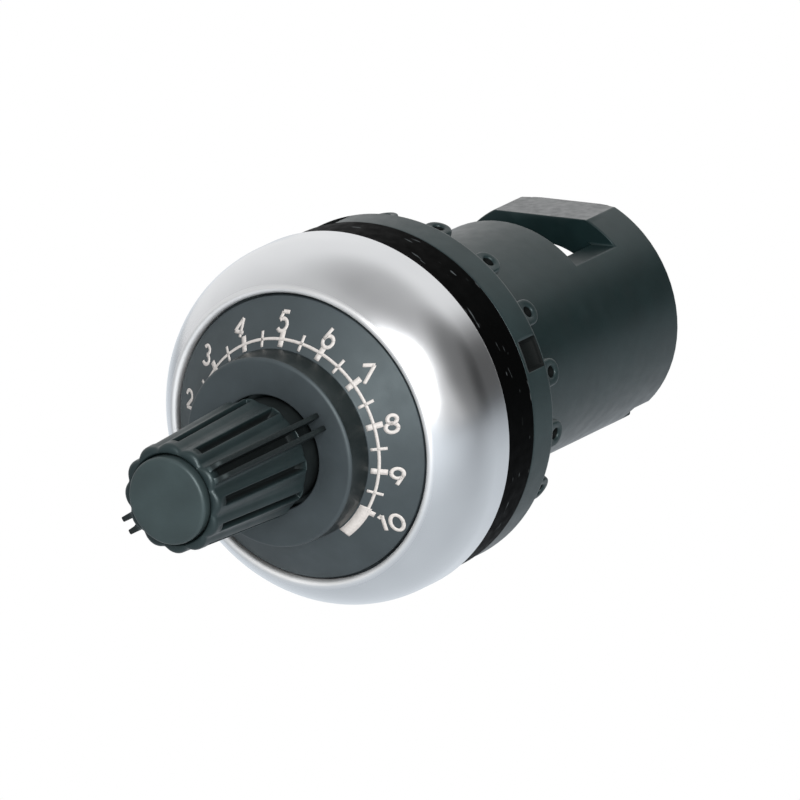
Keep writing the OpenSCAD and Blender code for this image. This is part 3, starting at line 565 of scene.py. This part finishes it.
fine_round, inner_round = 0.05, 0.1
dial_edge_round, boss_root_round, knob_hole_round = 0.12, 0.18, 0.14
dial_profile = rounded_profile([
    (dial_rim_r, dial_rear, fine_round), (dial_rim_r, shoulder_y, fine_round),
    (dial_edge_r, shoulder_y, fine_round), (dial_edge_r, cone_y(dial_edge_r), dial_edge_round),
    (boss_root_r, cone_y(boss_root_r), boss_root_round), (boss_r, dial_front, boss_round),
    (knob_hole_r, dial_front, knob_hole_round), (knob_hole_r, boss_floor, inner_round),
    (shaft_hole_r, boss_floor, inner_round), (shaft_hole_r, groove_start, fine_round),
    (groove_r, groove_start, fine_round), (groove_r, groove_end, fine_round),
    (hub_r, groove_end, inner_round), (hub_r, groove_start, inner_round),
    (boss_r - dial_wall, groove_start, inner_round),
    (dial_inner_r, cone_y(dial_inner_r) + dial_wall, inner_round), (dial_inner_r, dial_rear, fine_round),
])
dial_plastic = moulded_plastic(
    "dial plastic", (0.022, 0.028, 0.032), roughness=0.58, grain=0.11, depth=0.005, specular=0.72)
# Painted shade on the side wall of the boss: a near black colour and a glossier finish between its round
# and its root.
wall_from, wall_to, wall_painted_shade, wall_dulling = (
    dial_front + 0.25, cone_y(boss_root_r) - 0.1, (0.001, 0.003, 0.003), 0.55)
on_wall = combine(dial_plastic.node_tree, "MULTIPLY", past(dial_plastic, (0, 1, 0), wall_from),
                  past(dial_plastic, (0, -1, 0), -wall_to))
other_area(dial_plastic, on_wall, wall_painted_shade, wall_dulling)
add_piece("dial_plate_moulding", *revolved(dial_profile), dial_plastic, "housing", "dial_plastic",
          ["dial_plate"])


# Scale: warm white ink printed on the cone, with numbers from 0 to 10, a thick tick at each of them
# and a thin one between, a line through them all, and a block that marks the full end.
tick_step, scale_end, scale_r, line_w, thick_w, thin_w = 25.0, 125.0, 8.48, 0.21, 0.46, 0.24
tick_in, tick_out = scale_r - 0.55, scale_r + 0.6
block_from, block_to, block_in, block_out = 122.5, 145.0, scale_r - 0.6, scale_r + 0.25
number_r, number_h, letter_step, stroke_w, ink_t = 9.95, 1.36, 0.72, 0.275, 0.03
number_shift, ten_shift = np.array([-0.22, -0.25]), np.array([0.4, 0.0])


def straight(*ends):
    """A straight stroke between two points of a number one unit high."""
    return np.linspace(*ends, 12)


def bow(centre, size, start, end):
    """A stroke along an ellipse about a centre, from one angle to another, counted from the right."""
    angle = np.radians(np.linspace(start, end, 40))
    return np.array(centre) + np.array(size) * np.stack([np.cos(angle), np.sin(angle)], 1)


six = [bow((0, 0.3), (0.31, 0.3), 0, 360), straight((-0.28, 0.43), (0.12, 1.0))]
digits = {
    "0": [bow((0, 0.5), (0.33, 0.5), 0, 360)],
    "1": [straight((0.05, 0), (0.05, 1)), straight((0.05, 0.98), (-0.17, 0.82))],
    "2": [bow((0, 0.7), (0.29, 0.3), 175, -38), straight((0.23, 0.515), (-0.3, 0.02)),
          straight((-0.32, 0), (0.32, 0))],
    "3": [bow((-0.02, 0.76), (0.25, 0.24), 150, -90), bow((-0.02, 0.26), (0.31, 0.26), 90, -150)],
    "4": [straight((0.14, 0), (0.14, 1)), straight((0.14, 1), (-0.34, 0.26)),
          straight((-0.36, 0.26), (0.34, 0.26))],
    "5": [straight((0.28, 1), (-0.16, 1)), straight((-0.14, 1), (-0.24, 0.56)),
          bow((-0.03, 0.32), (0.32, 0.32), 135, -145)],
    "6": six,
    "7": [straight((-0.32, 1), (0.34, 1)), straight((0.32, 1), (-0.1, 0))],
    "8": [bow((0, 0.76), (0.24, 0.24), 0, 360), bow((0, 0.27), (0.31, 0.27), 0, 360)],
    "9": [np.array([0, 1]) - stroke for stroke in six],
}


def ribbon(path, width):
    """A flat strip along a path: each of its points moved half the width to both sides."""
    heading = np.gradient(path, axis=0)
    heading /= np.linalg.norm(heading, axis=1, keepdims=True)
    offset = np.stack([-heading[:, 1], heading[:, 0]], 1) * width / 2
    return np.stack([path - offset, path + offset], 1)


def ring_strip(start, end, inner, outer, count):
    """A strip of the dial between two clock angles and two radii."""
    clock = np.radians(np.linspace(start, end, count))[:, None, None]
    radius = np.array([inner, outer])[None, :, None]
    return radius * np.concatenate([np.sin(clock), np.cos(clock)], 2)


def upright(text, clock):
    """The strokes of a number that stands upright, with its middle near the number radius."""
    middle = number_r * np.array([np.sin(np.radians(clock)), np.cos(np.radians(clock))]) + number_shift
    middle += ten_shift * (len(text) - 1)
    spread = (np.arange(len(text)) - (len(text) - 1) / 2) * letter_step
    return [ribbon(middle + number_h * (stroke + np.array([shift, -0.5])), stroke_w)
            for letter, shift in zip(text, spread) for stroke in digits[letter]]


def printed(strip):
    """A strip of ink as a thin closed slab on the cone: its front, its back and the rim between."""
    front = np.concatenate([strip[:, 0], strip[::-1, 1]])
    rows, count = strip.shape[0], len(front)
    face = cone_y(np.linalg.norm(front, axis=1))
    slab = [np.stack([front[:, 0], face - lift, front[:, 1]], 1) for lift in (ink_t, -ink_t)]
    k = np.arange(rows - 1)
    top = np.stack([k, k + 1, count - 2 - k, count - 1 - k], 1)
    return np.concatenate(slab), np.concatenate([top, top[:, ::-1] + count, grid_faces(2, count)])


marks = [ring_strip(-scale_end, scale_end, scale_r - line_w / 2, scale_r + line_w / 2, 160),
         ring_strip(block_from, block_to, block_in, block_out, 24)]
for half_step in range(-10, 11):
    clock, width = half_step * tick_step / 2, thin_w if half_step % 2 else thick_w
    spoke = np.array([np.sin(np.radians(clock)), np.cos(np.radians(clock))])
    marks.append(ribbon(np.linspace(tick_in, tick_out, 6)[:, None] * spoke, width))
    if half_step % 2 == 0:
        marks += upright(str(half_step // 2 + 5), clock)
full_ink, worn_ink = (0.48, 0.455, 0.435), (0.40, 0.375, 0.36)
scale_ink = new_finish("scale ink", (0.47, 0.445, 0.43), 0.55)
worn = between(scale_ink, mottle(scale_ink, 0.18, 3.0), 0, 1, 0.35, 0.8)
vary_colour(scale_ink, worn, full_ink, worn_ink)
relief(scale_ink, (mottle(scale_ink, 0.08, 2.0), 0.006))
add_piece("dial_scale", *joined(*[printed(strip) for strip in marks]), scale_ink, "housing", None)


# Bezel ring: a drawn metal ring with a straight skirt, one domed arc and a small round edge, plated
# and blasted to a satin silver. The edge beside the dial is painted paler as a highlight and made
# duller. A bead behind its skirt snaps over the flange.
skirt_front, bezel_wall, edge_r, bezel_bead = bezel_rear - 1.9, 0.9, 0.35, 0.3
edge_centre = np.array([opening_r + edge_r, bezel_front + edge_r])
edge_in, edge_rise = bezel_r - edge_centre[0], skirt_front - edge_centre[1]
dome_r = (edge_in ** 2 + edge_rise ** 2 - edge_r ** 2) / (2 * (edge_in - edge_r))
dome_centre = np.array([bezel_r - dome_r, skirt_front])
edge_turn = np.arctan2(edge_rise, edge_centre[0] - dome_centre[0])
inner_turn = np.arcsin((skirt_front - lip_y) / (dome_r - bezel_wall))


def arc(centre, radius, start, end, count):
    """Points of an arc in the plane of radius and place, its angle counted from outwards to the front."""
    angle = np.linspace(start, end, count)
    return centre + radius * np.stack([np.cos(angle), -np.sin(angle)], 1)


skirt_round, skirt_bore, bead_front = 0.12, bezel_r - bezel_wall, bezel_rear - 0.45
bezel_profile = np.concatenate([
    [[skirt_bore - bezel_bead, bezel_rear]],
    arc(np.array([bezel_r - skirt_round, bezel_rear - skirt_round]), skirt_round, -np.pi / 2, 0, 6),
    arc(dome_centre, dome_r, 0, edge_turn, 56), arc(edge_centre, edge_r, edge_turn, np.pi, 20)[1:],
    [[opening_r, lip_y]], arc(dome_centre, dome_r - bezel_wall, inner_turn, 0, 24),
    [[skirt_bore, bead_front], [skirt_bore - bezel_bead, bead_front]],
])
silver_dark, silver_light = (0.675, 0.685, 0.70), (0.705, 0.715, 0.73)
bezel_satin = new_finish("bezel satin", (0.69, 0.70, 0.715), 0.25, metallic=1.0)
blasted, handled = mottle(bezel_satin, 0.3, 1.0), mottle(bezel_satin, 3.5, 1.0)
vary_roughness(bezel_satin, handled, 0.235, 0.265)
vary_colour(bezel_satin, between(bezel_satin, handled, 0, 1), silver_dark, silver_light)
relief(bezel_satin, (blasted, 0.0004))


def off_axis(tree):
    """How far a place lies from the part's axis: the length of its x and z."""
    place, across, length = [tree.nodes.new(kind) for kind in (
        "ShaderNodeTexCoord", "ShaderNodeVectorMath", "ShaderNodeVectorMath")]
    across.operation, length.operation = "MULTIPLY", "LENGTH"
    across.inputs[1].default_value = (1, 0, 1)
    tree.links.new(place.outputs["Object"], across.inputs[0])
    tree.links.new(across.outputs["Vector"], length.inputs[0])
    return length.outputs["Value"]


# Painted highlight: a whiter, duller band on the edge beside the dial.
highlight_from, highlight_to, edge_painted_highlight, highlight_dulling = opening_r + 0.3, opening_r + 0.75, (0.95, 0.95, 0.95), 2.4
near_dial = between(bezel_satin, off_axis(bezel_satin.node_tree), 1, 0, highlight_from * MM, highlight_to * MM)
other_area(bezel_satin, near_dial, edge_painted_highlight, highlight_dulling)
add_piece("bezel_ring_shell", *revolved(bezel_profile, 320), bezel_satin, "housing", "bezel_satin",
          ["bezel_ring"])


# Knob: a tapered moulding in dark satin plastic with twelve lobes, each with a slot that ends
# before the neck, a rounded rim in front, and two pairs of thin pointer fins beside opposite slots.
# The slots and the crests of the fins are painted darker as shade.
knob_front, knob_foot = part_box("knob")[0][1] / MM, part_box("knob")[1][1] / MM
knob_base = dial_front
lobe_count, pointer_clock, lobe_end, neck_r = 12, -120.5, knob_base - 1.75, 4.3
front_valley, foot_valley, lobe_h, lobe_r = 4.15, 4.7, 0.3, 1.3
rim_len, slot_depth, slot_end, slot_runout = 1.1, 0.75, lobe_end - 0.2, 0.35
fin_front_r, fin_foot_r = 5.5, 6.4
fin_start, fin_end = knob_front + 0.4, knob_base - 0.3
front_round, foot_bevel, lobe_fade, step_len, full_bend = 0.4, 0.15, 0.3, 0.05, 0.3
cap_hole_r, cap_hole_round, cap_seat, knob_bore_r = 3.7, 0.1, knob_front + 0.8, 2.8

# One half of a lobe from the middle of its slot to the valley: how far out each point lies with an
# open slot, its share of the wall's height, and the small round at the wall's foot and head
slot_u = np.array([0, 0.13, 0.25, 0.30, 0.335, 0.35, 0.35, 0.35, 0.365, 0.40, 0.45])
slot_share = np.array([0, 0, 0, 0, 0, 0, 0.5, 1, 1, 1, 1.0])
slot_bend = np.array([0, 0, 0, 0.015, 0.05, 0.1, 0, -0.1, -0.05, -0.015, 0])
fin_u = np.array([0.56, 0.67, 0.72, 0.755, 0.77, 0.77, 0.77, 0.79, 0.84])
fin_share = np.array([1, 1, 1, 1, 1, 0.5, 0, 0, 0.0])
fin_bend = np.array([0, 0, -0.015, -0.05, -0.1, 0, 0.1, 0.04, 0])
plain_u = np.linspace(0, 0.86, len(slot_u) + len(fin_u))
to_valley = np.linspace(0, 1, 8)[1:]


def lobe_surface(u, valley, height):
    """Height of the knob's skin over a place across the lobe: the rounded larger of the valley's
    circle and of the lobe's own arc."""
    circle = np.sqrt(np.maximum(valley ** 2 - u ** 2, 0))
    arch = valley + height - lobe_r + np.sqrt(np.maximum(lobe_r ** 2 - u ** 2, 0))
    soft = 0.035
    return np.maximum(circle, arch) + soft * np.log1p(np.exp(-np.abs(circle - arch) / soft))


def knob_stations():
    """Places along the knob, close together where the skin steps: front round, fins, slots, foot."""
    bend = knob_front + front_round * (1 - np.sin(np.linspace(np.pi / 2, 0, 7)))
    steps = [[y - step_len, y + step_len] for y in (fin_start, knob_front + rim_len, fin_end)]
    runout = slot_end - slot_runout * (1 - np.sin(np.linspace(0, np.pi / 2, 10)))
    body = np.linspace(knob_front + rim_len + 0.3, slot_end - slot_runout - 0.1, 14)
    end = lobe_end + np.array([-lobe_fade, -0.2, -0.1, -0.04, 0, 0.02, 0.5])
    foot = np.array([knob_base, knob_foot - foot_bevel, knob_foot])
    return np.unique(np.concatenate([bend, *steps, runout, body, end, foot]).round(4))


def risen(y, place):
    """0 before a place along the knob and 1 behind it, with a short slope between."""
    return np.clip((y - place) / (2 * step_len) + 0.5, 0, 1)


def knob_skin():
    """The knob's sections one behind the other. Each lobe's half section is a line across it whose
    height is mixed from the slot's floor, the skin and the fin's crest; mirrored and turned to every
    lobe it makes one closed loop."""
    y = knob_stations()[:, None, None]
    taper = np.clip((y - knob_front) / (lobe_end - knob_front), 0, 1)
    before_round = np.clip(knob_front + front_round - y, 0, None)
    inset = front_round - np.sqrt(np.maximum(front_round ** 2 - before_round ** 2, 0))
    foot_inset = np.clip(y - knob_foot + foot_bevel, 0, foot_bevel)
    valley = front_valley + (foot_valley - front_valley) * taper - inset
    valley = np.where(y > lobe_end, neck_r - foot_inset, valley)
    height = lobe_h * np.sqrt(np.clip((lobe_end - y) / lobe_fade, 0, 1))
    into_end = np.clip((slot_end - y) / slot_runout, 0, 1)
    depth = risen(y, knob_front + rim_len) * np.sqrt(1 - (1 - into_end) ** 2)
    is_fin = (np.arange(lobe_count) % (lobe_count // 2) == 0)[None, :, None]
    fin = is_fin * risen(y, fin_start) * risen(-y, -fin_end)
    crest = fin_front_r + (fin_foot_r - fin_front_r) * (y - fin_start) / (fin_end - fin_start)

    open_u, open_share = np.concatenate([slot_u, fin_u]), np.concatenate([slot_share, fin_share])
    bend = np.concatenate([slot_bend, fin_bend])
    is_slot = np.arange(len(open_u)) < len(slot_u)
    opened = np.where(is_slot, np.maximum(depth, fin), fin)
    u = plain_u + (open_u - plain_u) * opened
    skin = lobe_surface(u, valley, height)
    floor = np.where(is_slot, skin - depth * (skin - valley + slot_depth), skin)
    head = skin + fin * (crest - skin)
    wall = head - floor
    v = floor + wall * open_share + bend * np.clip(wall / full_bend, 0, 1)
    v = np.where(opened > 0, v, skin)
    edge_u = valley * np.sin(np.pi / lobe_count)
    outer_u = u[..., -1:] + (edge_u - u[..., -1:]) * to_valley
    u = np.concatenate([u, outer_u], -1)
    v = np.concatenate([v, lobe_surface(outer_u, valley, height)], -1)
    u = np.concatenate([-u[..., :0:-1], u[..., :-1]], -1)
    v = np.concatenate([v[..., :0:-1], v[..., :-1]], -1)
    clock = np.radians(pointer_clock + np.arange(lobe_count) * 360 / lobe_count)[None, :, None]
    x, z = u * np.cos(clock) + v * np.sin(clock), v * np.cos(clock) - u * np.sin(clock)
    return np.stack([x, y + 0 * x, z], -1).reshape(len(y), -1, 3)


skin = knob_skin()
skin_clock = np.degrees(np.arctan2(skin[0, :, 0], skin[0, :, 2]))
round_middle = 0.3 * cap_hole_round
front_hole = np.array([
    [knob_bore_r, cap_seat], [cap_hole_r, cap_seat], [cap_hole_r, knob_front + cap_hole_round],
    [cap_hole_r + round_middle, knob_front + round_middle], [cap_hole_r + cap_hole_round, knob_front],
])
cap_hole = around(front_hole[:, :1], skin_clock, front_hole[:, 1:])
bore = around(knob_bore_r, skin_clock, np.array([[knob_foot]]))
knob_points = np.concatenate([cap_hole, skin, bore])
knob_plastic = moulded_plastic(
    "knob plastic", (0.009, 0.016, 0.017), roughness=0.42, grain=0.1, depth=0.004, specular=0.44)
# Painted shade: the floors and low walls of the slots and the crests of the fins get a near black colour
# and a duller finish.
slot_painted_shade, slot_dulling, slot_low, slot_high = (0.001, 0.002, 0.002), 1.6, -0.4, 0.05
fin_low, fin_high, fin_shade_share = lobe_h + 0.08, lobe_h + 0.3, 0.8
tree = knob_plastic.node_tree
widening = (foot_valley - front_valley) / (lobe_end - knob_front)
valley_here = combine(tree, "ADD", (front_valley - widening * knob_front) * MM,
                      combine(tree, "MULTIPLY", along(tree, "Object", (0, 1, 0)), widening))
height_here = combine(tree, "SUBTRACT", off_axis(tree), valley_here)
below_skin = between(knob_plastic, height_here, 1, 0, slot_low * MM, slot_high * MM)
in_slot = combine(tree, "MULTIPLY", below_skin, past(knob_plastic, (0, 1, 0), knob_front + rim_len))
on_fin = between(knob_plastic, height_here, 0, fin_shade_share, fin_low * MM, fin_high * MM)
other_area(knob_plastic, combine(tree, "MAXIMUM", in_slot, on_fin), slot_painted_shade, slot_dulling)
add_piece("knob_moulding", knob_points.reshape(-1, 3), grid_faces(*knob_points.shape[:2], wrap_rows=True),
          knob_plastic, "knob_and_shaft", "knob_plastic", ["knob"])


# Knob cap: a shallow domed disc of the same plastic, snapped into the front of the knob over the
# collet's screw by a thin plug. It stands out of the knob, with a dark groove left round it.
cap_front, cap_plug_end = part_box("knob_cap")[0][1] / MM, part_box("knob_cap")[1][1] / MM
cap_r, cap_dome, cap_round, cap_bevel, plug_r, plug_wall = 3.55, 60.0, 0.3, 0.05, 2.75, 0.6
plug_inner_r, plug_floor = plug_r - plug_wall, cap_seat - 0.1
cap_spread = np.linspace(0, cap_r - cap_round, 16)
cap_dome_y = cap_front + cap_dome - np.sqrt(cap_dome ** 2 - cap_spread ** 2)
cap_edge = arc(np.array([cap_r - cap_round, cap_dome_y[-1] + cap_round]), cap_round, np.pi / 2, 0, 7)
cap_profile = np.concatenate([
    np.stack([cap_spread, cap_dome_y], 1), cap_edge[1:],
    [[cap_r, cap_seat - cap_bevel], [cap_r - cap_bevel, cap_seat], [plug_r, cap_seat],
     [plug_r, cap_plug_end], [plug_inner_r, cap_plug_end], [plug_inner_r, plug_floor], [0, plug_floor]],
])
cap_plastic = moulded_plastic(
    "cap plastic", (0.022, 0.033, 0.034), roughness=0.45, grain=0.1, depth=0.003, specular=0.5)
add_piece("knob_cap_moulding", *revolved(cap_profile, 160), cap_plastic, "knob_and_shaft",
          "knob_plastic", ["knob_cap"])


# Studio: a white table well below the part that glows where the part mirrors it, with painted light
# and shade in that glow: bright along one diagonal, darker in front and off the diagonal, and slightly
# cool; a white room that is darker in front and has dim places, and one large soft box to the right
# of the camera, for the bright patch on the bezel. The camera sees plain white behind.
table_z, table_size, table_cool = -0.12, 3.0, (0.955, 1.015, 1.075)
table_fade, fade_axis = 0.36, (0.71, 0.71, 0)
rear_axis, rear_from, rear_to, front_level, rear_level = (-0.35, 0.94, 0), 0.0, 0.16, 0.72, 0.95
lit_axis, lit_from, lit_to, lit_level = (0.53, -0.85, 0), 0.12, 0.4, 0.4
table = bpy.data.meshes.new("table")
table_corners = [
    (x * table_size, y * table_size, table_z) for x, y in ((-1, -1), (1, -1), (1, 1), (-1, 1))
]
table.from_pydata(table_corners, [], [(0, 1, 2, 3)])
white_table = new_finish("white table", (0.82, 0.82, 0.82), 0.9)
table.materials.append(white_table)
floor = bpy.data.objects.new("table", table)
bpy.context.scene.collection.objects.link(floor)

# Painted light and shade: the table's glow for mirrored rays is brighter along a diagonal, towards the
# rear and on the lit side, and darker in front, where the part's shadow falls.
tree = white_table.node_tree
rays, glow, either = [tree.nodes.new(kind) for kind in (
    "ShaderNodeLightPath", "ShaderNodeEmission", "ShaderNodeMixShader")]
to_camera = rays.outputs["Is Camera Ray"]
to_mirror = combine(tree, "MAXIMUM", rays.outputs["Is Glossy Ray"], rays.outputs["Is Transmission Ray"])
off_diagonal = combine(tree, "ABSOLUTE", along(tree, "Object", fade_axis), 0)
fade = combine(tree, "POWER", table_fade, off_diagonal)
level = combine(
    tree, "ADD",
    between(white_table, along(tree, "Object", rear_axis), front_level, rear_level, rear_from, rear_to),
    between(white_table, along(tree, "Object", lit_axis), 0, lit_level, lit_from, lit_to))
shown = combine(tree, "MAXIMUM", to_camera, combine(tree, "MULTIPLY", fade, level))
tree.links.new(shown, glow.inputs["Strength"])
tree.links.new(tint(white_table, to_camera, table_cool, (1, 1, 1)), glow.inputs["Color"])
tree.links.new(combine(tree, "MAXIMUM", to_camera, to_mirror), either.inputs["Fac"])
tree.links.new(tree.nodes["Principled BSDF"].outputs["BSDF"], either.inputs[1])
tree.links.new(glow.outputs["Emission"], either.inputs[2])
tree.links.new(either.outputs["Shader"], tree.nodes["Material Output"].inputs["Surface"])

# Each row is a direction of the room, the reach along it from which and to which the light changes,
# and the light's strength before and after
room_light = (
    ((-0.2, 0.98, 0.0), -1.0, 0.7, 0.58, 1.0), ((0.86, 0.38, 0.40), 0.80, 0.96, 1.0, 0.2),
    ((0.62, 0.78, 0.10), 0.86, 0.98, 1.0, 0.12), ((0.18, 0.02, 0.98), 0.70, 0.99, 1.0, 0.6),
)
room = bpy.data.worlds.new("room")
bpy.context.scene.world = room
room.use_nodes = True
tree = room.node_tree
level = 1.0
for direction, start, end, before, after in room_light:
    dimming = between(room, along(tree, "Generated", direction), before, after, start, end)
    dimming.node.interpolation_type = "SMOOTHSTEP"
    level = combine(tree, "MULTIPLY", dimming, level)
to_camera = tree.nodes.new("ShaderNodeLightPath").outputs["Is Camera Ray"]
background = tree.nodes["Background"]
tree.links.new(combine(tree, "MAXIMUM", to_camera, level), background.inputs["Strength"])
background.inputs["Color"].default_value = (1, 1, 1, 1)

box_toward, box_distance = Vector((0.60, -0.69, 0.405)), 0.6
box_width, box_height, box_power = 0.31, 0.30, 4.6
soft_box = bpy.data.lights.new("soft box", "AREA")
soft_box.shape, soft_box.size, soft_box.size_y = "RECTANGLE", box_width, box_height
soft_box.energy = box_power
lamp = bpy.data.objects.new("soft box", soft_box)
box_turn = box_toward.to_track_quat("Z", "Y").to_matrix().to_4x4()
lamp.matrix_world = Matrix.Translation(box_toward * box_distance) @ box_turn
lamp.visible_camera = False
bpy.context.scene.collection.objects.link(lamp)

# Camera: far away, slightly above the part and to its right, so that parallel lines stay almost parallel
view_right, view_up = Vector((0.834779, 0.546816, -0.064314)), Vector((-0.097595, 0.261918, 0.960143))
view_back = view_right.cross(view_up)
view_distance, pixels_per_mm, image_width, sensor = 2000.0, 12.7214, 800, 36.0
bezel_centre_px, bezel_centre_py = 351.38, 413.04
bezel_centre = Vector((0, bezel_rear, 0))
image_centre = (bezel_centre + view_right * (image_width / 2 - bezel_centre_px) / pixels_per_mm
                + view_up * (bezel_centre_py - image_width / 2) / pixels_per_mm)
camera_data = bpy.data.cameras.new("camera")
camera_data.sensor_width = sensor
camera_data.lens = pixels_per_mm * view_distance / image_width * sensor
camera_data.clip_start, camera_data.clip_end = 0.05, 20
camera = bpy.data.objects.new("camera", camera_data)
turned = Matrix((view_right, view_up, view_back)).transposed().to_4x4()
camera.matrix_world = Matrix.Translation((image_centre + view_back * view_distance) * MM) @ turned
bpy.context.scene.collection.objects.link(camera)
bpy.context.scene.camera = camera
bpy.context.scene.view_settings.view_transform = "Standard"

bpy.context.view_layer.update()
